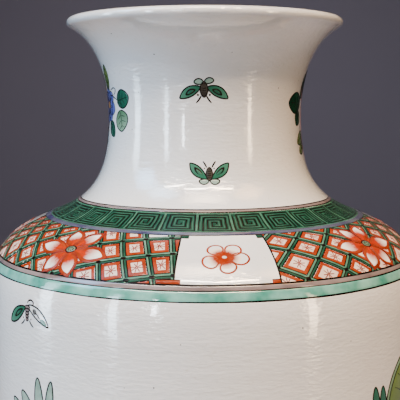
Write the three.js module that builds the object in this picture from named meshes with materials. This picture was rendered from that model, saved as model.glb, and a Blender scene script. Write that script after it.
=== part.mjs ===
// A tall porcelain vase with a waisted neck, an everted rounded mouth and a broad shoulder.
// It is built as a large vase is potted: clay sections thrown one by one, trimmed level at their
// edges and luted together with slip, then a floor dropped in and a foot ring set below.
// Millimetres, +Z up, origin at the centre of the foot's resting face.
import * as THREE from "three";

// Overall form
const bodyRadius = 105; // widest point of the body, outside
const bodyRise = 287.5; // from the top of the foot ring up to the widest point
const shoulderRise = 56.3; // from the widest point up to where the shoulder turns into the neck
const shoulderEndRadius = 75.2; // outside radius where the shoulder turns into the neck
const shoulderSlope = 20.3; // degrees above level, at that turn
const neckFootRise = 47.9; // from that turn up to the waist of the neck
const waistRadius = 46.9; // narrowest point of the neck, outside
const neckRise = 40.9; // from the waist up to the underside of the rounded lip
const flareRadius = 65.4; // outside radius where the flare meets the lip
const flareSlope = 26.6; // degrees above level, at the lip
const bodyFootSlope = 76; // degrees above level, where the body leaves the foot ring

// Walls
const lipThickness = 4.6; // the lip's edge is a full round of this thickness
const footWall = 8; // wall of the body where it stands on the foot ring
const bodyWall = 6; // wall of the body at its widest point
const neckWall = 4.6; // wall of the neck at its waist

// Foot and floor
const footRadius = 66.5; // outside radius of the foot ring and of the body just above it
const footHeight = 12; // height of the foot ring
const footWidth = 12; // radial width of the ring's top, which carries the body and the floor
const footTread = 7; // radial width of the unglazed face that the vase stands on
const footBevel = 1.2; // bevel on the outer edge of the tread
const floorThickness = 7; // thickness of the floor

// Luting: each joint is a layer of slip that stands a little proud inside, where it was smoothed
const slipThickness = 0.8;
const slipBead = 1.6; // how far the slip stands into the hollow
const mouthSeamDrop = 9.5; // joint of mouth and neck, below the lip's underside
const neckSeamRise = 10; // joint of neck and shoulder, above the turn of the shoulder
const shoulderSeamRise = 30; // joint of shoulder and upper body, above the widest point
const bellySeamShare = 0.54; // joint of upper and lower body, as a share of the body's rise

// Smoothness of the solids
const around = 48; // facets round the axis
const curveSteps = 8; // straight steps along each stretch of the profile
const lipSteps = 6; // straight steps round the lip

// Heights that follow from the sizes above
const bodyFootZ = footHeight;
const widestZ = bodyFootZ + bodyRise;
const turnZ = widestZ + shoulderRise;
const waistZ = turnZ + neckFootRise;
const flareZ = waistZ + neckRise;
const mouthSeamZ = flareZ - mouthSeamDrop;
const neckSeamZ = turnZ + neckSeamRise;
const shoulderSeamZ = widestZ + shoulderSeamRise;
const bellySeamZ = bodyFootZ + bellySeamShare * bodyRise;

const porcelain = new THREE.MeshStandardMaterial({ color: 0xdcd8d6, roughness: 0.14, metalness: 0 });
const biscuit = new THREE.MeshStandardMaterial({ color: 0xcdbda6, roughness: 0.85, metalness: 0 });
const dressedSlip = new THREE.MeshStandardMaterial({ color: 0xd8d2c8, roughness: 0.4, metalness: 0 });

// A direction in the profile's plane, x outwards and y up, from its angle above level in degrees.
function direction(degrees) {
  const angle = THREE.MathUtils.degToRad(degrees);
  return new THREE.Vector2(Math.cos(angle), Math.sin(angle));
}

// One smooth stretch of the outside: it leaves "from" and reaches "to" along the two directions,
// and each handle is a share of the distance between the ends, so the stretch scales with them.
function stretch(from, fromAngle, fromHandle, to, toAngle, toHandle) {
  const reach = from.distanceTo(to);
  const leave = direction(fromAngle).multiplyScalar(fromHandle * reach).add(from);
  const arrive = direction(toAngle).multiplyScalar(-toHandle * reach).add(to);
  return new THREE.CubicBezierCurve(from, leave, arrive, to);
}

// The outside of the vase from the foot ring to the lip's underside.
const bodyFoot = new THREE.Vector2(footRadius, bodyFootZ);
const widest = new THREE.Vector2(bodyRadius, widestZ);
const turn = new THREE.Vector2(shoulderEndRadius, turnZ);
const waist = new THREE.Vector2(waistRadius, waistZ);
const flare = new THREE.Vector2(flareRadius, flareZ);
const outside = [
  { curve: stretch(bodyFoot, bodyFootSlope, 0.35, widest, 90, 0.45), walls: [footWall, bodyWall] },
  { curve: stretch(widest, 90, 0.482, turn, 180 - shoulderSlope, 0.553), walls: [bodyWall, bodyWall] },
  { curve: stretch(turn, 180 - shoulderSlope, 0.396, waist, 90, 0.513), walls: [bodyWall, neckWall] },
  { curve: stretch(waist, 90, 0.234, flare, flareSlope, 0.387), walls: [neckWall, lipThickness] },
];

// Points along the outside and, square to them through the wall, along the inside.
function wallPoints() {
  const outer = [];
  const inner = [];
  outside.forEach(({ curve, walls }, index) => {
    for (let step = index === 0 ? 0 : 1; step <= curveSteps; step += 1) {
      const share = step / curveSteps;
      const point = curve.getPoint(share);
      const along = curve.getTangent(share);
      const wall = THREE.MathUtils.lerp(walls[0], walls[1], share);
      outer.push(point);
      inner.push(new THREE.Vector2(point.x - along.y * wall, point.y + along.x * wall));
    }
  });
  return { outer, inner };
}

// The point of a rising line of points at a height.
function atHeight(points, z) {
  const next = Math.min(Math.max(points.findIndex((p) => p.y >= z), 1), points.length - 1);
  const [low, high] = [points[next - 1], points[next]];
  return new THREE.Vector2(THREE.MathUtils.mapLinear(z, low.y, high.y, low.x, high.x), z);
}

// The part of a rising line of points between two heights, ends included.
function between(points, lowZ, highZ) {
  const slack = 0.05; // a point this near an end is the end
  const inside = points.filter((p) => p.y > lowZ + slack && p.y < highZ - slack);
  return [atHeight(points, lowZ), ...inside, atHeight(points, highZ)];
}

// A closed profile, anticlockwise from the outside's foot, turned round the axis.
function turned(points, name, material) {
  const closed = [...points, points[0].clone()];
  const mesh = new THREE.Mesh(new THREE.LatheGeometry(closed, around), material);
  // LatheGeometry turns about +Y, and the vase stands along +Z.
  mesh.geometry.rotateX(Math.PI / 2);
  mesh.name = name;
  return mesh;
}

const { outer, inner } = wallPoints();
const halfSlip = slipThickness / 2;

// A thrown section: the wall between two level edges.
function section(lowZ, highZ, name) {
  const outsideEdge = between(outer, lowZ, highZ);
  const insideEdge = between(inner, lowZ, highZ).reverse();
  return turned([...outsideEdge, ...insideEdge], name, porcelain);
}

// The slip between two sections: as wide as the wall at the joint, with a rounded bead inside.
function lutingSlip(seamZ, name) {
  const [lowZ, highZ] = [seamZ - halfSlip, seamZ + halfSlip];
  const low = atHeight(inner, lowZ);
  const high = atHeight(inner, highZ);
  const beadRadius = Math.min(low.x, high.x) - slipBead;
  const profile = [
    atHeight(outer, lowZ),
    atHeight(outer, highZ),
    high,
    new THREE.Vector2(beadRadius, highZ - slipThickness / 4),
    new THREE.Vector2(beadRadius, lowZ + slipThickness / 4),
    low,
  ];
  return turned(profile, name, dressedSlip);
}

// The mouth: the top of the flare, closed by a full round that joins the outside to the inside.
function mouth() {
  const lowZ = mouthSeamZ + halfSlip;
  const across = direction(flareSlope + 90).multiplyScalar(lipThickness / 2);
  const centre = flare.clone().add(across);
  const lip = [];
  for (let step = 1; step < lipSteps; step += 1) {
    const angle = flareSlope - 90 + (180 * step) / lipSteps;
    lip.push(direction(angle).multiplyScalar(lipThickness / 2).add(centre));
  }
  const outsideEdge = between(outer, lowZ, flareZ);
  const innerEnd = inner[inner.length - 1];
  const insideEdge = between(inner, lowZ, innerEnd.y).reverse();
  return turned([...outsideEdge, ...lip, ...insideEdge], "mouth_rim", porcelain);
}

// The foot ring: its top carries the body's wall and the edge of the floor.
function footRing() {
  const innerTop = footRadius - footWidth;
  const innerTread = footRadius - footBevel - footTread;
  const profile = [
    new THREE.Vector2(innerTread, 0),
    new THREE.Vector2(footRadius - footBevel, 0),
    new THREE.Vector2(footRadius, footBevel),
    new THREE.Vector2(footRadius, bodyFootZ - slipThickness),
    new THREE.Vector2(innerTop, bodyFootZ - slipThickness),
  ];
  return turned(profile, "foot_ring", biscuit);
}

// The slip that beds the body and the floor on the foot ring and fills the ring round the floor.
const floorRadius = footRadius - footWall - slipThickness;
const floorTopZ = bodyFootZ + floorThickness;
function footSlip() {
  const wallFoot = atHeight(inner, bodyFootZ);
  const wallTop = atHeight(inner, floorTopZ);
  const profile = [
    new THREE.Vector2(footRadius - footWidth, bodyFootZ - slipThickness),
    new THREE.Vector2(footRadius, bodyFootZ - slipThickness),
    new THREE.Vector2(footRadius, bodyFootZ),
    wallFoot,
    ...between(inner, bodyFootZ, floorTopZ).slice(1, -1),
    wallTop,
    new THREE.Vector2(floorRadius, floorTopZ),
    new THREE.Vector2(floorRadius, bodyFootZ),
    new THREE.Vector2(footRadius - footWidth, bodyFootZ),
  ];
  return turned(profile, "foot_luting_slip", dressedSlip);
}

// The floor: a disc that drops into the bottom of the body.
function floorDisc() {
  const profile = [
    new THREE.Vector2(0, bodyFootZ),
    new THREE.Vector2(floorRadius, bodyFootZ),
    new THREE.Vector2(floorRadius, floorTopZ),
    new THREE.Vector2(0, floorTopZ),
  ];
  const geometry = new THREE.LatheGeometry(profile, around);
  geometry.rotateX(Math.PI / 2);
  const mesh = new THREE.Mesh(geometry, porcelain);
  mesh.name = "base_floor";
  return mesh;
}

const vase = new THREE.Group();
vase.add(
  footRing(),
  footSlip(),
  floorDisc(),
  section(bodyFootZ, bellySeamZ - halfSlip, "lower_body"),
  lutingSlip(bellySeamZ, "belly_luting_slip"),
  section(bellySeamZ + halfSlip, shoulderSeamZ - halfSlip, "upper_body"),
  lutingSlip(shoulderSeamZ, "shoulder_luting_slip"),
  section(shoulderSeamZ + halfSlip, neckSeamZ - halfSlip, "shoulder"),
  lutingSlip(neckSeamZ, "neck_luting_slip"),
  section(neckSeamZ + halfSlip, mouthSeamZ - halfSlip, "neck"),
  lutingSlip(mouthSeamZ, "mouth_luting_slip"),
  mouth(),
);

export default vase;
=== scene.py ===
import bmesh
import bpy
import numpy as np
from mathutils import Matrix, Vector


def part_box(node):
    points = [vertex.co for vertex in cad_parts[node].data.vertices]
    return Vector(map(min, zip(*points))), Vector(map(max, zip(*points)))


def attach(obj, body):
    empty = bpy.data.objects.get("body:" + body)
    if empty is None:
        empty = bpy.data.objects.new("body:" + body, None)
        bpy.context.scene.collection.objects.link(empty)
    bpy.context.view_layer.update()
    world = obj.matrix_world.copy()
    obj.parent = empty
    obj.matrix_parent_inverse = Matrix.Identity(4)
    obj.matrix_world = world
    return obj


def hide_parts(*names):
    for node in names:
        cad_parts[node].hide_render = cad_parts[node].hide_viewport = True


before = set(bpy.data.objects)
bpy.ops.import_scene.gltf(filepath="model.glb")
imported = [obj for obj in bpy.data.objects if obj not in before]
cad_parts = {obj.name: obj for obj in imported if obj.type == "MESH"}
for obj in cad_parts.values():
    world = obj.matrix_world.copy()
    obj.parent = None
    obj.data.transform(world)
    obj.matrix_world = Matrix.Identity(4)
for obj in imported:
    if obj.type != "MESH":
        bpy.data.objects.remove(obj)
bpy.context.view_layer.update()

# The glazed wall
# The body is thrown in sections, luted together with slip, then covered inside and out by one clear
# glaze that hides the joints. Sizes are millimetres, and become metres in the mesh.
MM = 0.001
FOOT_RADIUS = 66.5
FOOT_TOP = 12.0
WIDEST = (105.0, 299.5)
TURN = (75.2, 355.8)
WAIST = (46.9, 403.7)
FLARE = (65.4, 444.6)
SHOULDER_SLOPE = 159.7  # degrees, the way the profile runs where the shoulder turns into the neck
FLARE_SLOPE = 26.6  # degrees above level at the lip
LIP_THICKNESS = 4.6
WALLS = (8.0, 6.0, 6.0, 4.6, 4.6)  # wall at the foot, widest point, turn, waist and lip
FLOOR_THICKNESS = 7.0
FLOOR_CORNER = 9.0  # radius of the inside corner between wall and floor
AROUND = 240  # columns round the axis
STRETCH_POINTS = 64


def heading(degrees):
    """A unit vector in the profile's plane at an angle above level."""
    return np.array([np.cos(np.radians(degrees)), np.sin(np.radians(degrees))])


def stretch(start, leave, leave_share, end, arrive, arrive_share, wall_start, wall_end):
    """A cubic curve whose handles run along the two headings, each a share of the chord long.
    Beside it, the same curve moved square to itself through a wall that changes evenly."""
    start, end = np.array(start), np.array(end)
    chord = np.hypot(*(end - start))
    a = start + heading(leave) * leave_share * chord
    b = end - heading(arrive) * arrive_share * chord
    t = np.linspace(0, 1, STRETCH_POINTS)[:, None]
    outer = (1 - t) ** 3 * start + 3 * (1 - t) ** 2 * t * a + 3 * (1 - t) * t**2 * b + t**3 * end
    slope = 3 * (1 - t) ** 2 * (a - start) + 6 * (1 - t) * t * (b - a) + 3 * t**2 * (end - b)
    slope = slope / np.hypot(slope[:, :1], slope[:, 1:])
    wall = wall_start + (wall_end - wall_start) * t
    return outer, outer + np.hstack([-slope[:, 1:], slope[:, :1]]) * wall


def arc(centre, radius, start, end, count):
    """Points on a circle from one angle to another."""
    angle = np.radians(np.linspace(start, end, count))[:, None]
    return np.array(centre) + radius * np.hstack([np.cos(angle), np.sin(angle)])


stretches = [
    stretch((FOOT_RADIUS, FOOT_TOP), 76, 0.35, WIDEST, 90, 0.45, WALLS[0], WALLS[1]),
    stretch(WIDEST, 90, 0.482, TURN, SHOULDER_SLOPE, 0.553, WALLS[1], WALLS[2]),
    stretch(TURN, SHOULDER_SLOPE, 0.396, WAIST, 90, 0.513, WALLS[2], WALLS[3]),
    stretch(WAIST, 90, 0.234, FLARE, FLARE_SLOPE, 0.387, WALLS[3], WALLS[4]),
]
lip_centre = np.array(FLARE) + heading(FLARE_SLOPE + 90) * LIP_THICKNESS / 2
lip = arc(lip_centre, LIP_THICKNESS / 2, FLARE_SLOPE - 90, FLARE_SLOPE + 90, 24)
outside = np.vstack([stretches[0][0]] + [s[0][1:] for s in stretches[1:]] + [lip[1:]])
inside = np.vstack([stretches[0][1]] + [s[1][1:] for s in stretches[1:]])[::-1]
length_up = np.concatenate([[0.0], np.cumsum(np.hypot(*np.diff(outside, axis=0).T))])


def profile_at(along):
    """Radius and height at a length up the outside, measured from the top of the foot ring."""
    return np.interp(along, length_up, outside[:, 0]), np.interp(along, length_up, outside[:, 1])


def laid(turn, along, lift):
    """Points in metres on the outside: degrees round from the front, positive to the right, millimetres
    up the profile, and millimetres off the glaze, square to it."""
    radius, height = profile_at(along)
    half_step = 0.4
    r0, z0 = profile_at(along - half_step)
    r1, z1 = profile_at(along + half_step)
    run = np.hypot(r1 - r0, z1 - z0)
    radius = radius + lift * (z1 - z0) / run
    height = height - lift * (r1 - r0) / run
    angle = np.radians(turn)
    return np.stack([radius * np.sin(angle), -radius * np.cos(angle), height], axis=-1) * MM


def cells(grids):
    """The points of all the grids in one list, and each grid's cells as quads, wound rows by columns."""
    quads, start = [], 0
    for grid in grids:
        rows, columns = grid.shape[:2]
        index = start + np.arange(rows * columns).reshape(rows, columns)
        around = np.stack([index[:-1, :-1], index[1:, :-1], index[1:, 1:], index[:-1, 1:]], axis=-1)
        quads.append(around.reshape(-1, 4))
        start += rows * columns
    return np.vstack([grid.reshape(-1, grid.shape[-1]) for grid in grids]), np.vstack(quads)


def placed(name, data):
    """A new object in the scene."""
    thing = bpy.data.objects.new(name, data)
    bpy.context.scene.collection.objects.link(thing)
    return thing


def settled(mesh, material, slot):
    """Ends a piece: points that coincide are merged, so seams and poles close, and it rides on the vase."""
    shape = bmesh.new()
    shape.from_mesh(mesh)
    bmesh.ops.remove_doubles(shape, verts=shape.verts, dist=2e-7)
    bmesh.ops.dissolve_degenerate(shape, edges=shape.edges, dist=1e-8)
    shape.to_mesh(mesh)
    shape.free()
    mesh.shade_smooth()
    mesh.materials.append(material)
    piece = placed(mesh.name, mesh)
    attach(piece, "root")
    return piece


def turned(name, line, material, slot):
    """A profile turned once round the axis. The profile runs with the outer air on its right."""
    angle = np.linspace(2 * np.pi, 0, AROUND + 1)[None, :]
    radius, height = line[:, :1], line[:, 1:]
    grid = np.stack([radius * np.sin(angle), -radius * np.cos(angle), height + 0 * angle], -1) * MM
    points, quads = cells([grid])
    mesh = bpy.data.meshes.new(name)
    mesh.from_pydata(points, [], quads)
    return settled(mesh, material, slot)


class Socket:
    """A shader value in an expression: each operator adds one Math node."""

    def __init__(self, tree, output):
        self.tree, self.output = tree, output

    def math(self, operation, *values):
        node = self.tree.nodes.new("ShaderNodeMath")
        node.operation = operation
        for slot, value in zip(node.inputs, values):
            feed(slot, value)
        return Socket(self.tree, node.outputs[0])

    def __add__(self, other):
        return self.math("ADD", self, other)

    def __sub__(self, other):
        return self.math("SUBTRACT", self, other)

    def __rsub__(self, other):
        return self.math("SUBTRACT", other, self)

    def __mul__(self, other):
        return self.math("MULTIPLY", self, other)

    __radd__, __rmul__ = __add__, __mul__


def feed(slot, value):
    """Links a shader value to a node's slot, or gives the slot a plain one."""
    if isinstance(value, Socket):
        value.tree.links.new(value.output, slot)
    else:
        slot.default_value = value


class Finish:
    """A material with one Principled shader, and one method that adds any other node."""

    def __init__(self, name, **sockets):
        self.material = bpy.data.materials.new(name)
        self.material.use_nodes = True
        self.tree = self.material.node_tree
        self.shader = self.tree.nodes["Principled BSDF"]
        self.place = self.node("ShaderNodeTexCoord", "Object")
        self.set(**sockets)

    def node(self, kind, output=0, settings=None, **values):
        node = self.tree.nodes.new(kind)
        for name, value in (settings or {}).items():
            setattr(node, name, value)
        for name, value in values.items():
            feed(node.inputs[name.replace("_", " ")], value)
        return Socket(self.tree, node.outputs[output])

    def set(self, **sockets):
        for name, value in sockets.items():
            feed(self.shader.inputs[name.replace("_", " ")], value)

    def noise(self, scale, detail=3.0, flat=1.0):
        """Noise at a scale, stretched level round the vase where flat is under 1."""
        place = self.node("ShaderNodeMapping", Vector=self.place, Scale=(flat, flat, 1.0))
        return self.node("ShaderNodeTexNoise", Vector=place, Scale=scale, Detail=detail)

    def between(self, value, low, high):
        """A value moved from one range to 0 to 1, and held there."""
        return self.node("ShaderNodeMapRange", Value=value, From_Min=low, From_Max=high)

    def blend(self, factor, first, second):
        """A colour between two colours."""
        node = self.tree.nodes.new("ShaderNodeMix")
        node.data_type = "RGBA"
        for slot, value in ((0, factor), (6, first), (7, second)):
            feed(node.inputs[slot], value)
        return Socket(self.tree, node.outputs[2])

    def bump(self, height, distance):
        """The shader's normal, tilted by a height whose full range is a distance in metres."""
        self.set(Normal=self.node("ShaderNodeBump", Height=height, Distance=distance))


def porcelain():
    """Clear glaze on a white body: faintly grey, uneven, with fine level ripples left by the throwing."""
    finish = Finish("glazed_porcelain", IOR=1.5, Coat_Weight=1.0, Coat_Roughness=0.03)
    cloud = finish.between(finish.noise(11.0, 4.0), 0.35, 0.7)
    base = finish.blend(cloud, (0.72, 0.71, 0.70, 1), (0.66, 0.65, 0.65, 1))
    grain = finish.between(finish.noise(700.0, 4.0), 0.62, 0.75)
    finish.set(Base_Color=finish.blend(grain * 0.3, base, (0.45, 0.40, 0.35, 1)))
    finish.set(Roughness=0.03 + 0.05 * finish.noise(240.0, 2.0))
    throwing = finish.noise(170.0, 2.0, 0.05) * 1.8
    ripples = finish.noise(900.0, 2.0, 0.35) * 1.8
    finish.bump(throwing + ripples + finish.noise(150.0, 2.0) * 0.9 + finish.noise(34.0, 2.0) * 4.0, 0.00012)
    return finish.material


glaze = porcelain()
floor_top = FOOT_TOP + FLOOR_THICKNESS
wall_inside = inside[inside[:, 1] > floor_top + FLOOR_CORNER][::3]  # a third of the points is enough
corner = arc((wall_inside[-1, 0] - FLOOR_CORNER, floor_top + FLOOR_CORNER), FLOOR_CORNER, 0, -90, 12)[1:]
underside = [[radius, FOOT_TOP] for radius in (0.0, 25.0, 54.0, FOOT_RADIUS - 2)]
skin = np.vstack([underside, outside, wall_inside[1:], corner, [[35.0, floor_top], [0.0, floor_top]]])
glazed_wall = turned("glazed_wall", skin, glaze, "glazed_porcelain")
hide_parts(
    "base_floor", "lower_body", "belly_luting_slip", "upper_body", "shoulder_luting_slip",
    "shoulder", "neck_luting_slip", "neck", "mouth_luting_slip", "mouth_rim",
)

# The foot ring
# A ring of the same clay, turned on the wheel and luted below the body. It is wiped clean of glaze
# where it stands, so the bare clay shows as a slightly browned biscuit.


def biscuit_clay():
    """Bare fired clay with a fine grain, browned in places, and a band of glaze up the outside."""
    finish = Finish("biscuit", IOR=1.5)
    height = finish.node("ShaderNodeSeparateXYZ", 2, Vector=finish.place)
    edge = height + 0.0012 * finish.noise(60.0, 2.0)
    glazed = finish.between(edge, 0.0036, 0.0040)
    grain = finish.noise(900.0, 4.0)
    bare = finish.blend(finish.noise(30.0), (0.50, 0.40, 0.29, 1), (0.66, 0.57, 0.45, 1))
    bare = finish.blend(grain * 0.4, bare, (0.36, 0.27, 0.18, 1))
    finish.set(Base_Color=finish.blend(glazed, bare, (0.68, 0.67, 0.66, 1)))
    finish.set(Roughness=0.85 - 0.73 * glazed)
    finish.bump(grain * (1 - glazed) + glazed * 0.8, 0.0001)
    return finish.material


RING_WIDTH = 12.0  # the ring's top, which carries the wall and the floor
TREAD_INSET = 8.2  # from the outside to the inner edge of the tread
TREAD_ROUND = 1.0
OUTER_ROUND = 1.2
TOP_BEVEL = (0.6, 0.4)  # across and down, where the ring meets the slip
ring_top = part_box("foot_ring")[1].z / MM
inner_top = FOOT_RADIUS - RING_WIDTH
inner_tread = FOOT_RADIUS - TREAD_INSET
ring_profile = np.vstack([
    [[inner_top, FOOT_TOP], [inner_top, ring_top]],
    arc((inner_tread, TREAD_ROUND), TREAD_ROUND, 180, 270, 6),
    arc((FOOT_RADIUS - OUTER_ROUND, OUTER_ROUND), OUTER_ROUND, 270, 360, 8),
    [[FOOT_RADIUS, ring_top - TOP_BEVEL[1]], [FOOT_RADIUS - TOP_BEVEL[0], ring_top]],
    [[FOOT_RADIUS, FOOT_TOP], [inner_top, FOOT_TOP]],
])
foot_ring = turned("turned_foot_ring", ring_profile, biscuit_clay(), "biscuit")
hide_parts("foot_ring", "foot_luting_slip")

# The painted rings
# Enamels are ground glass, laid over the fired glaze and melted on. The rings are put on while the
# vase turns slowly on a banding wheel, so they wander a little. Each ring's outline is brown-black.
EDGE = -0.015  # an enamel's edge lies just under the glaze's surface
ROW_STEP = 1.2  # rows of a band, millimetres apart


def enamel(name, slot, light, dark, shine=0.5, uneven=160, tip=None):
    """Glassy enamel, darker where it pools, with the slot that it fills. Its shine is how strongly it
    mirrors, and uneven is how fine its pools are. Where a tip colour is given, the piece's own shade
    leads from the colour of the root to the colour of the tip."""
    finish = Finish(name, IOR=1.5, Specular_IOR_Level=shine, Coat_Weight=0.5 * shine, Coat_Roughness=0.05)
    pool = finish.between(finish.noise(uneven), 0.3, 0.7)
    colour = finish.blend(pool, (*light, 1), (*dark, 1))
    if tip is not None:
        shade = finish.node("ShaderNodeAttribute", "Fac", {"attribute_name": "shade"})
        colour = finish.blend(shade + 0.25 * pool - 0.12, colour, (*tip, 1))
    finish.set(Base_Color=colour, Roughness=0.06 + 0.05 * finish.noise(900.0, 2.0))
    finish.bump(pool, 0.00006)
    return finish.material, "enamel_" + slot


def flat_grid(turn, along, lift, shade):
    """Four arrays of one shape, or that spread to it, as one flat grid."""
    return np.stack(np.broadcast_arrays(turn, along, lift, shade), -1).astype(float)


def outward(grid):
    """The grid, with its rows in the other order where its faces would point into the glaze. They point
    off it where the area from rows to columns is positive."""
    down, across = grid[1:, :-1] - grid[:-1, :-1], grid[:-1, 1:] - grid[:-1, :-1]
    area = (down[..., 0] * across[..., 1] - down[..., 1] * across[..., 0]).sum()
    return grid if area > 0 else grid[::-1]


def painted(name, grids, ink, window=None):
    """One layer of enamel from flat grids of turn, along, lift and shade, laid on the vase. A window is
    two corners, each a turn and a length, and the layer is cut off at its four sides."""
    points, quads = cells([outward(grid) for grid in grids])
    mesh = bpy.data.meshes.new(name)
    mesh.from_pydata(points[:, :3], [], quads)
    mesh.attributes.new("shade", "FLOAT", "POINT").data.foreach_set("value", points[:, 3].astype(np.float32))
    shape = bmesh.new()
    shape.from_mesh(mesh)
    for corner, way in zip(window or (), (-1, 1)):
        for side in ((way, 0, 0), (0, way, 0)):
            everything = [*shape.verts, *shape.edges, *shape.faces]
            bmesh.ops.bisect_plane(shape, geom=everything, dist=1e-6, plane_co=(*corner, 0), plane_no=side,
                                   clear_outer=True)
    shape.to_mesh(mesh)
    shape.free()
    flat = np.zeros(len(mesh.vertices) * 3)
    mesh.vertices.foreach_get("co", flat)
    mesh.vertices.foreach_set("co", laid(*flat.reshape(-1, 3).T).ravel())
    settled(mesh, *ink)


def wander(turn, size, seed):
    """A slow unevenness round the vase: a few waves of different lengths, in millimetres."""
    waves = np.random.default_rng(seed)
    total = 0 * turn
    for count in (2, 3, 5, 8, 13, 21, 34):
        total = total + np.sin(np.radians(turn) * count + waves.uniform(0, 6.28)) / count**0.5
    return total * size


def ring_band(low, high, thick, seed):
    """A band of enamel all round between two lengths up the profile, with soft edges."""
    turn = np.linspace(180, -180, 721)[None, :]
    rows = int(np.ceil((high - low) / ROW_STEP)) + 1
    share = np.concatenate([[0.0], np.linspace(0.04, 0.96, rows), [1.0]])[:, None]
    lift = np.concatenate([[EDGE], np.full(rows, thick), [EDGE]])[:, None]
    bottom, top = low + wander(turn, 0.10, seed), high + wander(turn, 0.10, seed + 1)
    return flat_grid(turn, bottom + (top - bottom) * share, lift, 0.5)


def brush(line, width, thick, tip, offset=0.0):
    """A brush line along a path of turns and lengths: offsets to both sides in the surface, square to
    the path, with its middle standing up from the glaze, and narrower towards its ends."""
    turn, along = line[:, 0], line[:, 1]
    radius = profile_at(along)[0]
    run_u = np.gradient(np.radians(turn)) * radius
    run_v = np.gradient(along)
    size = np.maximum(np.hypot(run_u, run_v), 1e-9)
    side_u, side_v = (-run_v / size)[:, None], (run_u / size)[:, None]
    t = np.linspace(-1, 1, len(line))[:, None]
    breadth = width * (1 - (1 - tip) * np.abs(t) ** 3)
    across = np.array([-0.5, -0.36, 0.36, 0.5])[None, :] * breadth + offset
    lift = np.array([EDGE, thick, thick, EDGE])[None, :] + 0 * t
    lift[[0, -1]] = EDGE
    new_turn = turn[:, None] + np.degrees(side_u * across / radius[:, None])
    return flat_grid(new_turn, along[:, None] + side_v * across, lift, 0.5)


def ring_line(along, width, seed):
    """A thin brush line all round, whose end meets its start."""
    turn = np.linspace(-180, 180, 721)
    line = np.stack([turn, along + wander(turn, 0.07, seed)], -1)
    grid = brush(line, width, 0.06, 1.0)
    grid[[0, -1], :, 2] = grid[1, :, 2]
    grid[:, 0, 1] += wander(turn, 0.03, seed + 5)
    grid[-1, :, 1] = grid[0, :, 1]
    return grid


OUTLINE = enamel("outline_brown", "black", (0.009, 0.006, 0.005), (0.003, 0.002, 0.002), 0.03)
DEEP_GREEN = enamel("enamel_deep_green", "green", (0.009, 0.048, 0.028), (0.003, 0.020, 0.012), 0.03, 110)
LIGHT_GREEN = enamel("enamel_light_green", "green", (0.105, 0.215, 0.145), (0.040, 0.120, 0.077), 0.08, 220)
FRET_GREEN = enamel("enamel_fret_green", "green", (0.030, 0.084, 0.056), (0.013, 0.047, 0.032), 0.03, 220)
STRIP_GREEN = enamel("enamel_strip_green", "green", (0.052, 0.135, 0.088), (0.020, 0.070, 0.045), 0.03, 220)
AUBERGINE = enamel("enamel_aubergine", "aubergine", (0.22, 0.17, 0.165), (0.13, 0.095, 0.095), 0.5, 90)
TURQUOISE = enamel("enamel_turquoise", "turquoise", (0.20, 0.44, 0.38), (0.035, 0.21, 0.16), 0.5, 110)
BLUE = enamel("enamel_blue_violet", "blue", (0.022, 0.020, 0.070), (0.095, 0.105, 0.135), 0.5, 60)

FRET_LOW, FRET_HIGH = 361.9, 376.3
LATTICE_LOW, LATTICE_HIGH = 331.1, 359.3
TURQUOISE_LOW, TURQUOISE_HIGH = 324.6, 328.7
NECK_RING = 378.3
painted("shoulder_ring_lines", [
    ring_line(NECK_RING, 0.70, 11), ring_line(FRET_HIGH + 0.2, 0.75, 12), ring_line(LATTICE_HIGH, 0.7, 13),
    ring_line(LATTICE_LOW, 0.95, 14), ring_line(TURQUOISE_HIGH, 0.85, 15), ring_line(TURQUOISE_LOW, 1.0, 16),
], OUTLINE)
painted("shoulder_ring_aubergine", [
    ring_band(TURQUOISE_HIGH, LATTICE_LOW, 0.05, 31), ring_band(FRET_HIGH + 0.4, NECK_RING - 0.2, 0.04, 33),
], AUBERGINE)
painted("shoulder_ring_turquoise", [ring_band(TURQUOISE_LOW, TURQUOISE_HIGH, 0.07, 41)], TURQUOISE)
painted("shoulder_ring_blue", [ring_band(LATTICE_HIGH + 0.1, FRET_LOW + 0.15, 0.07, 51)], BLUE)

# The fret band
# Squared spirals in brown-black, side by side round the foot of the neck. Green enamel fills the band
# round them, and runs paler along the middle of each gap between the lines.
FRET_UNITS = 29
FRET_START = -3.0  # degrees, where one spiral begins
SPIRAL_GAPS = 7  # gaps between lines, across the whole spiral
SPIRAL_LOW, SPIRAL_HIGH = 363.1, 374.9
SPIRAL_SHARE = 0.885  # of a unit's width, the rest being the strip between spirals
fret_hand = np.random.default_rng(7)


def spiral_corners(gaps, inset):
    """A squared spiral in a square of a number of gaps: it runs up, right, down and left, each ring
    one gap further in. The inset moves it inwards."""
    low, high = inset, gaps - inset
    corners, left = [(low, low)], low
    while high - left > 0.9:
        corners += [(left, high), (high, high), (high, low), (left + 1, low)]
        left, low, high = left + 1, low + 1, high - 1
    return np.array(corners)


def straight(corners, step):
    """Straight runs between corners, with a point at each corner and every step."""
    runs = np.hypot(*np.diff(corners, axis=0).T)
    marks = np.concatenate([[0.0], np.cumsum(runs)])
    places = np.unique(np.concatenate([marks, np.arange(0, marks[-1], step)]))
    return np.stack([np.interp(places, marks, corners[:, k]) for k in (0, 1)], -1)


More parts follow.
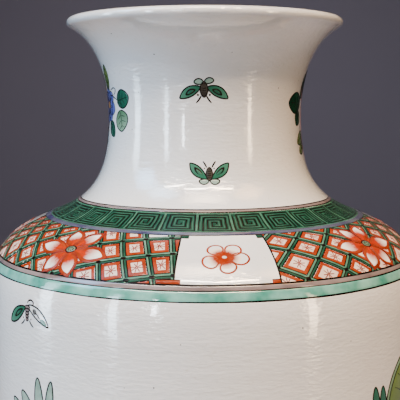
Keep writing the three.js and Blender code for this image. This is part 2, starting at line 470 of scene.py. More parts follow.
def fret_unit(number, inset):
    """A spiral's path in turns and lengths, leaning and mirrored at random, as a hand draws it."""
    hand = np.random.default_rng(100 + number)
    flips = hand.random(2) < 0.5
    lean, grow = hand.normal(0, 0.35), hand.normal(0, 0.02)
    path = straight(spiral_corners(SPIRAL_GAPS, inset), 0.35) / SPIRAL_GAPS
    path = np.where(flips, 1 - path, path)
    path = path + 0.006 * np.sin(path[:, ::-1] * 9 + hand.uniform(0, 6.28, 2))
    width = 360 / FRET_UNITS
    turn = FRET_START + width * (number + 0.5 + (path[:, 0] - 0.5) * (SPIRAL_SHARE + grow))
    along = SPIRAL_LOW + (SPIRAL_HIGH - SPIRAL_LOW) * path[:, 1]
    return np.stack([turn + lean * (path[:, 1] - 0.5), along], -1)


def fret_strip(number):
    """The upright pale strip between two spirals."""
    turn = FRET_START + 360 / FRET_UNITS * number + fret_hand.normal(0, 0.1)
    line = np.array([[turn + fret_hand.normal(0, 0.2), SPIRAL_LOW - 0.6], [turn, SPIRAL_HIGH + 0.9]])
    return brush(straight(line, 1.0), 1.15, 0.045, 0.9)


units = range(FRET_UNITS)
painted("fret_ground", [ring_band(FRET_LOW - 0.4, FRET_HIGH, 0.02, 21)], DEEP_GREEN)
painted("fret_spirals", [brush(fret_unit(k, 0.0), 0.80, 0.035, 0.9) for k in units], OUTLINE)
painted("fret_pale_runs", [brush(fret_unit(k, 0.5), 0.62, 0.03, 0.9) for k in units], FRET_GREEN)
fret_margins = [ring_line(SPIRAL_HIGH + 0.85, 0.75, 61), ring_line(SPIRAL_LOW - 0.75, 0.6, 63)]
painted("fret_pale_strips", [fret_strip(k) for k in units] + fret_margins, STRIP_GREEN)

# The lattice band
# A diaper of crossing bars in two greens with black edges and black knots. Each opening holds a
# square frame of iron red round a small eight-rayed star. It is drawn freely, so it turns slowly
# from diagonal to upright between one reserved panel and the next.
BAR_WIDTH = 3.3
STRAND_WIDTH = 0.92
STRAND_OFFSET = 0.62
FRAME_OUTER = 1.43  # from a bar's middle to the frame
FRAME_INNER = 3.0
STAR_REACH = 2.6
FRONT_PANEL = (-7.2, 17.2)  # degrees, a panel's left and right edges
SIDE_PANEL = (82.8, 100.5)
SIDE_POINTS = 7  # points along each side of a frame
LATTICE_MIDDLE = (LATTICE_LOW + LATTICE_HIGH) / 2
BAR_REACH = 18.0  # how far from the band's middle a bar is followed
FRAME_REACH = 6  # how far outside the window the middle of a frame may be
KNOT_REACH = 22  # how far outside the band a knot is looked for
KNOT_ROUNDS = 60
lattice_hand = np.random.default_rng(17)

# Steep bars: turn at the top of the band, turn at its foot, and how far the middle bows to the right.
# Flat bars: turn and length of one point, fall per degree away from the panel, and growth of that fall.
left_steep = [(-103.8 + step, -84.1 + 0.98 * step, 1.3) for step in (0, 10, 20, 30)]
left_steep += [(-64.3, -46.3, 1.3), (-54.3, -39.0, 0.9), (-43.8, -32.9, 0.9), (-34.5, -25.1, 1.0),
               (-26.2, -18.1, 0.5), (-18.6, -11.8, 0.5), (-10.3, -7.1, 0.4), (-1.8, 1.0, 0.4)]
left_flat = [(turn, LATTICE_HIGH, 0.80, 0.006) for turn in (-89.0, -79.0, -69.0, -59.0, -49.0)]
left_flat += [(-39.3, LATTICE_HIGH, 0.74, 0.018), (-7.2, 357.2, 0.10, 0.0095)]
left_flat += [(-7.2, along, 0.17, 0.0095) for along in (346.4, 335.2, 324.0)]
right_steep = [(8.8, -6.0, -1.0), (19.8, 4.0, -1.0), (30.6, 13.9, -1.0), (42.5, 23.5, -1.1),
               (54.0, 33.9, -1.1), (64.8, 44.6, -1.1), (75.5, 55.2, -1.1), (86.0, 66.0, -1.1),
               (97.0, 77.0, -1.1)]
right_flat = [(17.3, 326.0, 0.80, 0.01), (17.3, 337.9, 0.80, 0.01), (17.3, 350.0, 0.55, 0.018),
              (22.3, 358.6, 0.72, 0.018), (34.1, 358.9, 0.62, 0.024)]
right_flat += [(turn, LATTICE_HIGH, 0.72, 0.018) for turn in (45.5, 56.5, 67.5, 78.5)]


def steep_turn(bar, along):
    """Where a steep bar is at a length up the profile."""
    top, foot, bow = bar
    share = (LATTICE_HIGH - along) / (LATTICE_HIGH - LATTICE_LOW)
    return top + (foot - top) * share + 4 * bow * share * (1 - share)


def flat_along(bar, turn, way):
    """How far up a flat bar is at a turn. It is straight, but bends down past its given point."""
    start, along, fall, growth = bar
    away = (turn - start) * way
    return along - fall * away - growth * np.maximum(away, 0) ** 2


def knot_places(steep, flat, way):
    """Where each steep bar crosses each flat one. A guess half way up is moved onto each in turn."""
    along = np.full((len(steep), len(flat)), LATTICE_MIDDLE)
    for _ in range(KNOT_ROUNDS):
        turn = np.array([steep_turn(bar, along[i]) for i, bar in enumerate(steep)])
        aim = np.array([flat_along(bar, turn[:, j], way) for j, bar in enumerate(flat)]).T
        along = along + 0.5 * (np.clip(aim, LATTICE_LOW - KNOT_REACH, LATTICE_HIGH + KNOT_REACH) - along)
    return np.stack([turn, along], -1)


def loop_at(corners, inset):
    """A four-cornered outline moved inwards by a distance in millimetres, with points along each side."""
    radius = profile_at(corners[:, 1].mean())[0]
    flat = np.stack([np.radians(corners[:, 0]) * radius, corners[:, 1]], -1)
    sides = np.roll(flat, -1, 0) - flat
    sides = sides / np.maximum(np.hypot(sides[:, :1], sides[:, 1:]), 1e-9)
    before = np.roll(sides, 1, 0)
    spread = np.maximum(np.abs(before[:, 0] * sides[:, 1] - before[:, 1] * sides[:, 0]), 0.35)[:, None]
    moved = flat + (sides - before) / spread * inset
    share = np.linspace(0, 1, SIDE_POINTS, endpoint=False)[None, :, None]
    ring = (moved[:, None] * (1 - share) + np.roll(moved, -1, 0)[:, None] * share).reshape(-1, 2)
    ring = np.vstack([ring, ring[:1]])
    return np.stack([np.degrees(ring[:, 0] / radius), ring[:, 1]], -1)


def rings(loops):
    """Loops of points round one another, each with its lift, as one grid."""
    return np.stack([flat_grid(loop[:, 0], loop[:, 1], lift, 0.5) for loop, lift in loops])


def opening_frame(corners):
    """The iron red frame in an opening, from its inner edge to its outer edge."""
    edges = ((FRAME_INNER, EDGE), (FRAME_INNER - 0.14, 0.03), (FRAME_OUTER + 0.14, 0.03), (FRAME_OUTER, EDGE))
    return rings([(loop_at(corners, inset), lift) for inset, lift in edges])


def opening_blush(corners):
    """The faint wash inside a frame, from its middle out."""
    middle = corners.mean(0)
    loop = loop_at(corners, FRAME_INNER - 0.1)
    rows = [(0.0, 0.015), (0.35, 0.015), (0.7, 0.015), (0.95, 0.015), (1.0, EDGE)]
    return rings([(middle + (loop - middle) * share, lift) for share, lift in rows])


def star(turn, along):
    """Eight short rays round a middle, each a thin tapered line."""
    radius = profile_at(along)[0]
    reach = np.array([0.0, 0.12, 0.45, 0.75, 0.93, 1.0]) * STAR_REACH
    rays = []
    for k in range(8):
        angle = np.radians(45 * k + lattice_hand.normal(0, 5))
        place = reach * lattice_hand.uniform(0.85, 1.1)
        turns = turn + np.degrees(place * np.sin(angle) / radius)
        rays.append(brush(np.stack([turns, along + place * np.cos(angle)], -1), 0.5, 0.04, 0.5))
    return rays


def knot(turn, along):
    """A black dab where two bars cross."""
    reach = np.degrees(1.35 / profile_at(along)[0]) * np.array([-1, -0.8, -0.3, 0.3, 0.8, 1])
    line = np.stack([turn + reach, along + 0 * reach], -1)
    return brush(line, 1.9, 0.085, 0.6)


def lattice(name, steep, flat, way, left, right, shift):
    """One stretch of the diaper between two panels, moved round by a number of degrees. Its way is 1
    where its bars are placed from the panel at its left, and -1 from the one at its right."""
    window = ((left + shift, LATTICE_LOW), (right + shift, LATTICE_HIGH))
    up = np.linspace(LATTICE_LOW - 2, LATTICE_HIGH + 2, 24)
    across = np.linspace(left - 1, right + 1, 60)
    paths = [np.stack([steep_turn(bar, up), up], -1) for bar in steep]
    paths += [np.stack([across, flat_along(bar, across, way)], -1) for bar in flat]
    paths = [path[np.abs(path[:, 1] - LATTICE_MIDDLE) < BAR_REACH] + (shift, 0) for path in paths]
    paths = [path for path in paths if len(path) > 3]
    places = knot_places(steep, flat, way) + (shift, 0)
    frames, washes, rays = [], [], []
    for i in range(len(steep) - 1):
        for j in range(len(flat) - 1):
            corners = np.array([places[i, j + 1], places[i + 1, j + 1], places[i + 1, j], places[i, j]])
            turn, along = corners.mean(0)
            if (left - FRAME_REACH < turn - shift < right + FRAME_REACH
                    and LATTICE_LOW - FRAME_REACH < along < LATTICE_HIGH + FRAME_REACH):
                frames.append(opening_frame(corners))
                washes.append(opening_blush(corners))
                rays += star(turn, along)
    dabs = [knot(*place) for place in places.reshape(-1, 2) if LATTICE_LOW < place[1] < LATTICE_HIGH]
    bars = [brush(path, BAR_WIDTH, 0.045, 1.0) for path in paths]
    pale, deep = [[brush(path, STRAND_WIDTH, 0.065, 1.0, offset) for path in paths]
                  for offset in (STRAND_OFFSET, -STRAND_OFFSET)]
    for layer, grids, ink in (("bars", bars + dabs, OUTLINE), ("pale_strands", pale, LIGHT_GREEN),
                              ("deep_strands", deep, STRAND_GREEN), ("frames", frames, IRON_RED),
                              ("stars", rays, DARK_RED), ("blush", washes, BLUSH)):
        painted(f"{name}_{layer}", grids, ink, window)


STRAND_GREEN = enamel("enamel_strand_green", "green", (0.020, 0.07, 0.042), (0.006, 0.034, 0.02), 0.06, 220)
IRON_RED = enamel("enamel_iron_red", "iron_red", (0.27, 0.036, 0.009), (0.15, 0.017, 0.005), 0.1, 260)
DARK_RED = enamel("enamel_dark_red", "iron_red", (0.20, 0.020, 0.014), (0.11, 0.010, 0.008), 0.1, 300)
BLUSH = enamel("enamel_blush", "iron_red", (0.66, 0.54, 0.46), (0.58, 0.40, 0.32), 0.2, 200)
for shift, side in ((0, "front"), (180, "back")):
    lattice(f"lattice_{side}_left", left_steep, left_flat, -1, SIDE_PANEL[1] - 180, FRONT_PANEL[0], shift)
    lattice(f"lattice_{side}_right", right_steep, right_flat, 1, FRONT_PANEL[1], SIDE_PANEL[0], shift)

# The panels and their blossoms
# Four panels are left white between the stretches of lattice. Each has thin upright edges, short
# notches at its corners, and one five-petalled prunus blossom in thin iron red.


def smooth(points, count):
    """A smooth curve through given points: between two of them it is a cubic whose slopes come
    from the points before and after."""
    points = np.array(points, float)
    ends = np.vstack([2 * points[0] - points[1], points, 2 * points[-1] - points[-2]])
    place = np.linspace(0, len(points) - 1, count)
    step = np.minimum(place.astype(int), len(points) - 2)
    t = (place - step)[:, None]
    a, b, c, d = ends[step], ends[step + 1], ends[step + 2], ends[step + 3]
    return b + (c - a) / 2 * t + (2 * a - 5 * b + 4 * c - d) / 2 * t**2 + (3 * b - a - 3 * c + d) / 2 * t**3


def along_leaf(root, tip, bend, share):
    """Points at shares of the way along a leaf's middle, which bends to one side, then the whole run
    from its root to its tip, and the unit vector square to that."""
    run = np.subtract(tip, root)
    side = np.array([-run[1], run[0]]) / np.hypot(*run)
    t = np.asarray(share)[..., None]
    return root + run * t + side * (4 * bend * t * (1 - t)), run, side


class Painting:
    """Brushwork gathered by enamel. It is drawn in millimetres to the right of and above a place on
    the vase, turned and scaled there, and each enamel becomes one piece."""

    def __init__(self, name):
        self.name, self.inks = name, {}

    def move(self, turn, along, scale=1.0, tilt=0.0, mirror=1.0, lift=0.0):
        self.turn, self.along, self.lift = turn, along, lift
        c, s = np.cos(np.radians(tilt)) * scale, np.sin(np.radians(tilt)) * scale
        self.matrix = np.array([[c * mirror, s * mirror], [-s, c]])
        self.scale = scale

    def add(self, ink, grid):
        self.inks.setdefault(ink, []).append(grid)

    def spread(self, points):
        flat = np.array(points, float) @ self.matrix
        along = self.along + flat[..., 1]
        return self.turn + np.degrees(flat[..., 0] / profile_at(along)[0]), along

    def line(self, ink, points, width=0.5, tip=0.4, thick=0.12, count=16):
        flat = np.stack(self.spread(smooth(points, count)), -1)
        self.add(ink, brush(flat, width * self.scale**0.5, thick + self.lift, tip))

    def leaf(self, ink, root, tip, width, bend=0.0, blunt=0.75, widest=0.5, shade=(0.0, 1.0), thick=0.06,
             edge_width=0.0, edge=OUTLINE):
        """A leaf, petal or wing from its root to its tip. Half its width is a sine of the length, raised
        to a power: a low one makes the ends round. Its edge is one line up one side, round the tip and
        back."""
        t = (1 - np.cos(np.linspace(0, np.pi, 15))) / 2
        middle, _, side = along_leaf(root, tip, bend, t)
        power = np.log(0.5) / np.log(widest)
        half = width / 2 * np.sin(np.pi * np.clip(t**power, 0, 1)) ** blunt
        across = np.array([-1, -0.9, -0.45, 0, 0.45, 0.9, 1])
        points = middle[:, None] + side * (half[:, None] * across)[..., None]
        lift = np.where((np.abs(across) > 0.99)[None, :] | (half < 1e-6)[:, None], EDGE, thick + self.lift)
        tone = shade[0] + (shade[1] - shade[0]) * t[:, None]
        if ink is not None:
            self.add(ink, flat_grid(*self.spread(points), lift, tone))
        if edge_width > 0:
            around = np.vstack([points[::2, 0], points[-3::-2, -1]])
            self.line(edge, around, edge_width, 0.75, thick + 0.05, 43)

    def disc(self, ink, centre, wide, tall, shade=(0.5, 0.5), thick=0.1):
        """A round dab, whose shade runs from its middle to its rim."""
        share = np.array([0.0, 0.25, 0.5, 0.75, 0.93, 1.0])[:, None]
        angle = np.radians(np.linspace(0, 360, 25))[None, :]
        points = np.stack([share * np.cos(angle) * wide / 2, share * np.sin(angle) * tall / 2], -1)
        lift = np.where(share > 0.99, EDGE, thick + self.lift)
        tone = shade[0] + (shade[1] - shade[0]) * share
        self.add(ink, flat_grid(*self.spread(points + centre), lift, tone))

    def finish(self):
        for ink, grids in self.inks.items():
            painted(f"{self.name}_{ink[0].name}", grids, ink)


PETAL_RED = enamel("enamel_petal_red", "iron_red", (0.36, 0.024, 0.003), (0.27, 0.015, 0.001),
                   0.1, 400, (0.72, 0.68, 0.63))
HEART_RED = enamel("enamel_heart_red", "iron_red", (0.24, 0.020, 0.002), (0.17, 0.012, 0.001),
                   0.04, 400, (0.72, 0.57, 0.47))
HEART_GREEN = enamel("enamel_heart_green", "green", (0.14, 0.18, 0.12), (0.07, 0.11, 0.07), 0.5, 400)
YELLOW = enamel("enamel_yellow", "yellow", (0.50, 0.29, 0.05), (0.36, 0.17, 0.02), 0.5, 180)
PANELS = np.array([FRONT_PANEL, SIDE_PANEL, FRONT_PANEL, SIDE_PANEL]) + [[0], [0], [180], [180]]
PRUNUS_TURN, PRUNUS_ALONG = -0.55, 344.1  # turn from the panel's middle
PRUNUS_PETALS = ((-2.8, 4.5), (4.2, 4.6), (7.0, -0.6), (1.3, -4.6), (-5.4, -2.2))

panels = Painting("panels")
for left, right in PANELS:
    panels.move((left + right) / 2 + PRUNUS_TURN, PRUNUS_ALONG)
    for x, y in PRUNUS_PETALS:
        away = np.array([x, y]) / np.hypot(x, y)
        panels.leaf(None, away * 2.2, np.array([x, y]) + away * 3.2, 6.6, blunt=0.5, widest=0.56,
                    thick=0.02, edge_width=0.88, edge=IRON_RED)
    panels.disc(HEART_RED, (0.1, 0.0), 14.0, 12.0, (-1.5, 1.25), 0.05)
    for k in range(10):
        angle = 36 * k + lattice_hand.normal(0, 4)
        way = np.array([np.sin(np.radians(angle)), np.cos(np.radians(angle)) * 0.9])
        panels.line(IRON_RED, [way * 2.2, way * 3.6, way * 4.8], 0.45, 0.3, 0.08, 6)
    panels.disc(BLUSH, (0.3, 0.3), 2.0, 1.5, thick=0.11)
    for turn in (left, right):
        panels.move(turn, LATTICE_LOW)
        panels.line(OUTLINE, [(0, 0), (0, 14), (0, LATTICE_HIGH - LATTICE_LOW)], 0.75, 1.0, 0.15, 24)
    notches = ((left, 2.4, 357.9, 1.9, DEEP_GREEN), (right - 2.0, 2.0, 357.7, 2.2, DEEP_GREEN),
               (left - 4.2, 5.8, 332.3, 1.9, IRON_RED), (right - 2.1, 2.1, 332.0, 1.7, IRON_RED))
    for start, wide, along, tall, ink in notches:
        panels.move(start, along)
        reach = np.radians(wide) * profile_at(along)[0]
        for stroke, y, width, thick in ((ink, 0, tall, 0.17), (OUTLINE, -tall / 2, 0.4, 0.20),
                                        (OUTLINE, tall / 2, 0.4, 0.20)):
            panels.line(stroke, [(0, y), (reach / 2, y), (reach, y)], width, 1.0, thick, 8)
panels.finish()

# The flower heads on the lattice
# Half way between two panels a six-petalled flower lies over the lattice: iron red at the heart,
# washed out to white at the tips, inside a broad outline of iron red.
HEADS = ((-37.9, 344.3), (49.8, 344.6), (140.2, 344.2), (230.0, 344.5))  # turn and length of each
HEAD_TIPS = ((-5.8, 11.4), (7.8, 11.6), (18.6, -2.2), (6.6, -12.2), (-7.6, -11.8), (-18.2, 0.2))

heads = Painting("flower_heads")
for turn, along in HEADS:
    heads.move(turn, along, lift=0.10)
    heads.disc(IRON_RED, (0, 0), 17.0, 12.0, thick=0.08)
    for x, y in HEAD_TIPS:
        tip = np.array([x, y])
        heads.leaf(IRON_RED, tip * 0.1, tip * 1.10, 8.8, blunt=1.0, widest=0.54, thick=0.10,
                   edge_width=0.35, edge=DARK_RED)
        heads.leaf(PETAL_RED, tip * 0.14, tip * 0.98, 6.2, blunt=1.0, widest=0.6, shade=(-1.0, 1.45),
                   thick=0.13)
        for lean in (-0.9, 0.9):
            side = np.array([-y, x]) / np.hypot(x, y) * lean
            vein = [tip * 0.2 + side, tip * 0.42 + side, tip * 0.62 + side * 0.8]
            heads.line(IRON_RED, vein, 0.3, 0.3, 0.16, 8)
    heads.disc(OUTLINE, (0, 0), 6.4, 4.8, thick=0.15)
    heads.disc(HEART_GREEN, (0, 0), 5.0, 3.5, thick=0.18)
    for k in range(7):
        angle = np.radians(51.4 * k)
        heads.disc(OUTLINE, (1.3 * np.sin(angle), 0.85 * np.cos(angle)), 0.7, 0.6, thick=0.21)
heads.finish()

# The insects on the neck and the shoulder
# Two winged insects, one above the other, are on the front and on the back of the neck, and another
# flies over the body. Thin greens fill their wings, inside brush outlines in brown-black.
WING_GREEN = enamel("enamel_wing_green", "green", (0.015, 0.10, 0.058), (0.004, 0.045, 0.027),
                    0.5, 300, (0.050, 0.165, 0.108))
BODY_BROWN = enamel("enamel_body_brown", "yellow", (0.050, 0.042, 0.033), (0.019, 0.016, 0.013), 0.5, 500)
PALE_GREEN = enamel("enamel_pale_green", "turquoise", (0.28, 0.38, 0.32), (0.17, 0.26, 0.21), 0.5, 300)


def bee(art):
    """A round-bodied insect with drooping wings, two loops over its head and two trailing legs."""
    for way in (-1, 1):
        art.leaf(WING_GREEN, (1.5 * way, 0.9), (10.6 * way, -4.0), 4.4, 0.45 * way, 0.7, 0.5, edge_width=0.68)
        art.leaf(OUTLINE, (3.6 * way, -0.2), (8.1 * way, -2.7), 2.5, 0.3 * way, 0.6, thick=0.09)
        art.leaf(WING_GREEN, (4.4 * way, -0.6), (7.2 * way, -2.2), 1.2, 0.2 * way, 0.6, thick=0.12,
                 shade=(0, 0))
        art.leaf(PALE_GREEN, (0.2 * way, 2.9), (4.3 * way, 3.5 + 0.4 * way), 2.5, 0.3 * way, 0.5,
                 edge_width=0.62)
        art.line(OUTLINE, [(1.2 * way, -3.0), (2.0 * way, -4.5), (3.4 * way, -6.2)], 0.8)
        art.disc(OUTLINE, (2.6 * way, -2.6), 0.95, 0.95)
    art.leaf(BODY_BROWN, (0, 3.3), (0.1, -3.6), 3.4, blunt=0.55, thick=0.10, edge_width=0.55)
    for y in (0.6, -0.5, -1.5, -2.4):
        art.line(OUTLINE, [(-1.4, y), (0, y - 0.3), (1.4, y)], 0.38, 0.6, 0.17, 6)


def moth(art):
    """A slender insect with raised wings, two feelers and two loops under its tail."""
    for way in (-1, 1):
        art.leaf(WING_GREEN, (0.9 * way, -2.5), (8.5 * way, 4.8), 4.3, -0.4 * way, 0.75, 0.55,
                 edge_width=0.68)
        art.leaf(OUTLINE, (3.0 * way, -0.3), (6.6 * way, 3.0), 2.3, -0.2 * way, 0.6, thick=0.09)
        art.leaf(WING_GREEN, (2.8 * way, -0.7), (5.8 * way, 2.1), 1.2, -0.2 * way, 0.6, thick=0.12,
                 shade=(0, 0.4))
        art.leaf(PALE_GREEN, (0.3 * way, -3.2), (4.5 * way, -3.3), 2.5, -0.4 * way, 0.5, edge_width=0.62)
        art.line(OUTLINE, [(1.1 * way, 2.8), (1.9 * way, 4.4), (2.8 * way, 5.8)], 0.75)
        art.disc(OUTLINE, (2.1 * way, 2.5), 0.7, 0.7)
    art.leaf(BODY_BROWN, (0, 3.1), (0, -3.2), 2.9, blunt=0.55, thick=0.10, edge_width=0.55)
    for y in (1.4, 0.4, -0.6, -1.6):
        art.line(OUTLINE, [(-1.1, y), (0, y - 0.25), (1.1, y)], 0.35, 0.6, 0.17, 6)


def wasp(art):
    """A beaded insect, one wing green and one clear, with a loop over its head and two legs."""
    art.leaf(WING_GREEN, (-1.4, 2.3), (-13.1, -5.6), 5.2, -0.4, 0.65, 0.55, edge_width=0.8)
    art.leaf(OUTLINE, (-3.3, 1.1), (-9.6, -3.2), 2.4, -0.3, 0.6, thick=0.09)
    art.leaf(WING_GREEN, (-4.4, 0.4), (-8.4, -2.4), 1.2, -0.2, 0.6, thick=0.12, shade=(0, 0.3))
    art.leaf(None, (0.4, 3.2), (13.8, -3.9), 4.3, 0.7, 0.65, 0.5, thick=0.04, edge_width=0.75)
    art.leaf(BODY_BROWN, (4.0, 2.0), (6.2, 0.2), 2.4, blunt=0.6, thick=0.09)
    art.leaf(WING_GREEN, (8.6, -1.6), (12.8, -3.3), 2.0, thick=0.09)
    art.line(OUTLINE, [(5.5, 1.2), (7.6, -0.4), (8.6, -1.4)], 0.6)
    art.line(OUTLINE, [(-0.5, 3.9), (0.6, 5.2), (2.3, 5.6), (3.9, 4.8), (3.8, 3.7)], 0.75)
    for way in (-1, 1):
        art.line(OUTLINE, [(1.7 * way, -3.0), (2.8 * way, -4.4), (4.6 * way, -5.6)], 0.75)
        art.disc(OUTLINE, (2.8 * way, -2.4), 0.7, 0.7)
    for number, y in enumerate((2.4, 1.1, -0.2, -1.5, -2.7)):
        reach = 1.6 - 0.17 * number
        art.leaf(AUBERGINE, (-reach, y), (reach, y), 1.5, blunt=0.5, thick=0.10, edge_width=0.55)


insects = Painting("insects")
for turn in (0, 180):
    insects.move(turn - 0.7, 433.8)
    bee(insects)
    insects.move(turn + 2.1, 396.4)
    moth(insects)
for turn in (-45.3, 44.7 + 90, 44.7 + 180):
    insects.move(turn, 313.1, tilt=0.0 if turn < 0 else 25.0)
    wasp(insects)
insects.finish()

# The sprays on the sides of the neck
# A spray of blossoms and leaves is on each side of the neck. From the front only the leaves and
# petals that reach round from each side can be seen.
PETAL_BLUE = enamel("enamel_petal_blue", "blue", (0.018, 0.019, 0.13), (0.035, 0.045, 0.20),
                    0.5, 300, (0.11, 0.13, 0.36))
LEAF_GREEN = enamel("enamel_leaf_green", "green", (0.007, 0.062, 0.038), (0.003, 0.028, 0.018),
                    0.5, 260, (0.016, 0.105, 0.064))
LEAF_OLIVE = enamel("enamel_leaf_olive", "green", (0.055, 0.115, 0.016), (0.026, 0.064, 0.009),
                    0.5, 260, (0.13, 0.20, 0.05))
LEAF_PALE = enamel("enamel_leaf_pale", "green", (0.075, 0.16, 0.085), (0.030, 0.085, 0.042),
                   0.5, 260, (0.19, 0.30, 0.20))
PETAL_AUBERGINE = enamel("enamel_petal_aubergine", "aubergine", (0.16, 0.026, 0.07), (0.10, 0.015, 0.045),
                         0.5, 300, (0.48, 0.32, 0.35))
PETAL_YELLOW = enamel("enamel_petal_yellow", "yellow", (0.48, 0.22, 0.03), (0.35, 0.14, 0.014),
                      0.5, 300, (0.66, 0.49, 0.18))
spray_hand = np.random.default_rng(27)


def foliage(art, ink, root, tip, width, bend=0.0, ribs=3):
    """A broad leaf with its outline, middle rib and side ribs."""
    art.leaf(ink, root, tip, width, bend, 0.62, 0.48, edge_width=0.65)
    art.line(OUTLINE, along_leaf(root, tip, bend, (0.03, 0.35, 0.65, 0.93))[0], 0.42, 0.3, 0.13, 12)
    for share in np.linspace(0.22, 0.72, ribs):
        start, run, side = along_leaf(root, tip, bend, share)
        reach = width * 0.36 * np.sin(np.pi * (share + 0.12)) ** 0.6
        for way in (-1, 1):
            end = start + run * 0.16 + side * way * reach
            art.line(OUTLINE, [start, (start + end) / 2 + run * 0.015, end], 0.32, 0.3, 0.12, 6)


def blossom(art, ink, centre, reach, petals, width):
    """A round blossom: a back row of petals, a smaller front row half a petal further round, and the
    yellow heart."""
    for row in (0, 1):
        for k in range(petals):
            angle = np.radians(360 / petals * (k + 0.5 * row) + spray_hand.normal(0, 3))
            way = np.array([np.sin(angle), np.cos(angle)]) * (1 - 0.3 * row)
            tip = centre + way * reach * spray_hand.uniform(0.93, 1.05)
            art.leaf(ink, centre + way * reach * 0.15, tip, width * (1 - 0.2 * row), blunt=0.62, widest=0.6,
                     shade=(-0.2, 1.0), thick=0.05 + 0.05 * row, edge_width=0.4)
    size = reach * 0.2
    art.disc(OUTLINE, centre, size * 2.3, size * 2.2, thick=0.17)
    art.disc(YELLOW, centre, size * 1.9, size * 1.8, thick=0.21)


sprays = Painting("neck_sprays")
for back in (0, 180):
    sprays.move(back - 53.0, 429.9)
    sprays.line(OUTLINE, [(-30, -34), (-24, -20), (-18, -8), (-13, 1), (-8.5, 0.2), (-5.5, -0.9)], 0.7)
    sprays.line(OUTLINE, [(-12.7, 3.6), (-9.1, 4.8), (-6.4, 4.4), (-7.0, 2.6), (-9.3, 1.3)], 0.5)
    foliage(sprays, LEAF_GREEN, (-5.6, -1.4), (4.7, 0.7), 8.6)
    foliage(sprays, LEAF_PALE, (-3.2, -5.6), (-0.9, -15.2), 10.6, 0.4)
    foliage(sprays, LEAF_GREEN, (-15.0, -11.0), (-8.4, -17.6), 6.0, ribs=2)
    foliage(sprays, LEAF_OLIVE, (-16.0, 4.0), (-14.5, 16.0), 6.5, 0.5)
    foliage(sprays, LEAF_GREEN, (-28, -14), (-38, -24), 8.0)
    blossom(sprays, PETAL_BLUE, (-17.5, -3.0), 9.0, 7, 6.2)
    blossom(sprays, PETAL_BLUE, (-31.0, 6.0), 9.5, 7, 6.6)
    sprays.move(back + 64.1, 428.2)
    stalk = [(9.5, 7.3), (10.6, 3.2), (15.0, -1.7), (15.8, -6.6), (15.9, -14), (20, -30)]
    sprays.line(PETAL_AUBERGINE, stalk, 1.3)
    foliage(sprays, DEEP_GREEN, (7.6, -0.6), (-7.2, -0.4), 9.8)
    foliage(sprays, DEEP_GREEN, (6.0, -4.4), (1.6, -10.7), 7.2, ribs=2)
    foliage(sprays, DEEP_GREEN, (7.5, 1.5), (15.0, 15.0), 7.5)
    foliage(sprays, LEAF_OLIVE, (14.0, -15.0), (2.2, -19.4), 5.8, ribs=2)
    foliage(sprays, LEAF_OLIVE, (13.0, -20.3), (3.6, -24.2), 4.4, ribs=2)
    blossom(sprays, PETAL_RED, (24.0, 7.0), 9.5, 7, 6.6)
    foliage(sprays, LEAF_GREEN, (20, -14), (31, -19), 8.0)
sprays.finish()

# The plants on the body
# Four flowering plants stand on the body, with insects between them. The photograph ends at their
# uppermost petals and leaves, so the rest follows the usual form of such vases.
plant_hand = np.random.default_rng(37)
STEM_FOOT = 40.0


def plant(art, turn, ink, second, mirror):
    """One plant: a winding main stem, side stems with leaves, and blossoms at the ends."""
    art.move(turn, STEM_FOOT, mirror=mirror)
    for x in (-34, -22, -9, 6, 19, 31):
        rise = 16 + 8 * plant_hand.random()
        art.line(LEAF_GREEN, [(x, -6), (x + 1.5, rise * 0.5), (x + 5, rise)], 1.6, 0.2, 0.10)
    art.line(LEAF_OLIVE, [(-52, -7), (-20, -4), (10, -6), (48, -5)], 3.4, 0.2, 0.08, 40)
    art.line(OUTLINE, [(-52, -9), (-20, -6), (10, -8), (48, -7)], 0.8, 0.3, 0.12, 40)
    stem = [(-6, -4), (6, 40), (-8, 85), (7, 130), (-4, 175), (2, 210)]
    art.line(OUTLINE, stem, 2.8, 0.6, 0.09, 70)
    art.line(BODY_BROWN, stem, 1.9, 0.6, 0.12, 70)
    for branch in (((4, 34), (26, 52), (40, 74)), ((-6, 78), (-27, 92), (-42, 116)),
                   ((6, 122), (28, 136), (40, 160)), ((-3, 160), (-18, 178), (-32, 186))):
        art.line(OUTLINE, branch, 1.7, 0.6, 0.09, 30)
        art.line(LEAF_OLIVE, branch, 1.0, 0.6, 0.12, 30)
    leaves = ((2, 12, -26, 24, 14), (5, 30, 34, 26, 13), (-2, 62, 26, 72, 13), (-8, 90, -34, 74, 14),
              (4, 106, -24, 116, 13), (6, 132, 36, 116, 14), (-4, 150, -30, 146, 12), (0, 176, 26, 188, 13),
              (30, 56, 52, 46, 11), (-32, 102, -54, 96, 11), (31, 142, 54, 138, 11))
    for number, (x0, y0, x1, y1, width) in enumerate(leaves):
        green = (LEAF_GREEN, LEAF_OLIVE, LEAF_PALE)[number % 3]
        foliage(art, green, (x0, y0), (x1, y1), width, plant_hand.normal(0, 1.4), 4)
    blossom(art, ink, (42, 84), 19, 9, 11)
    blossom(art, second, (-44, 126), 20, 9, 11.5)
    blossom(art, ink, (42, 170), 17, 9, 10)


